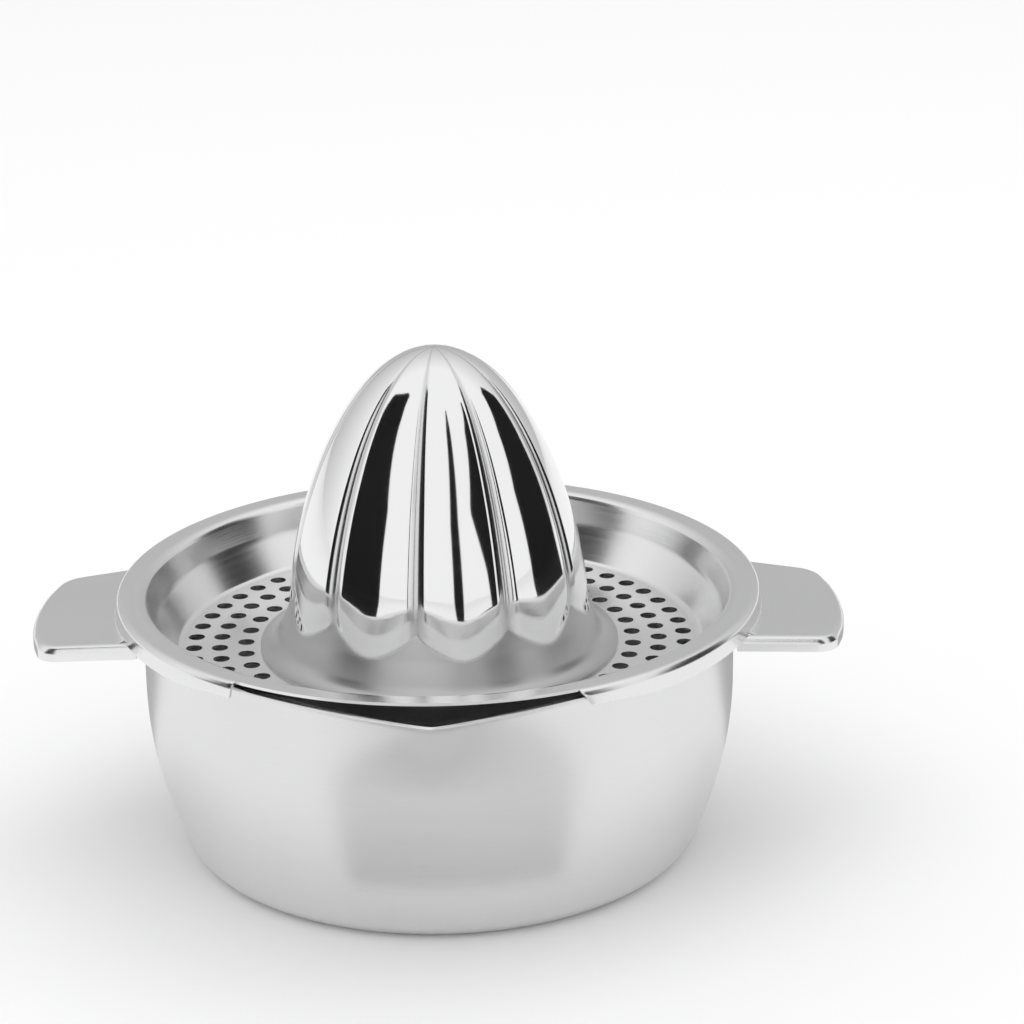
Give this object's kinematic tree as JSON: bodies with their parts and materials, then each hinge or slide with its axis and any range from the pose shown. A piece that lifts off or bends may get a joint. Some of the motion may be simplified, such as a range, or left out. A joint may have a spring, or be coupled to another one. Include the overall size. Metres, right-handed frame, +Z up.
{
  "type": "hand citrus squeezer",
  "caption": "Hand citrus squeezer in stainless sheet: a fluted reamer cone on a perforated strainer tray with side handles, lifting off a juice bowl with a pinched pouring spout.",
  "frame": {"origin": "centre of the bowl's flat base, on the table", "axes": "+Z up, the handles along -X and +X, the pouring spout towards -Y"},
  "size_m": [0.1662, 0.1393, 0.1061],
  "materials": {
    "bowl_satin_steel": "satin, soft reflections",
    "tray_satin_steel": "satin, brushed round the axis",
    "reamer_mirror_steel": "mirror polished steel"
  },
  "bodies": {
    "bowl": {"juice_bowl": "bowl_satin_steel"},
    "squeezer_top": {"strainer_tray": "tray_satin_steel", "reamer_cone": "reamer_mirror_steel"}
  },
  "joints": [
    {"name": "top_lift", "type": "slide", "parent": "bowl", "child": "squeezer_top", "axis": [0, 0, 1], "range_m": [0, 0.06]}
  ]
}
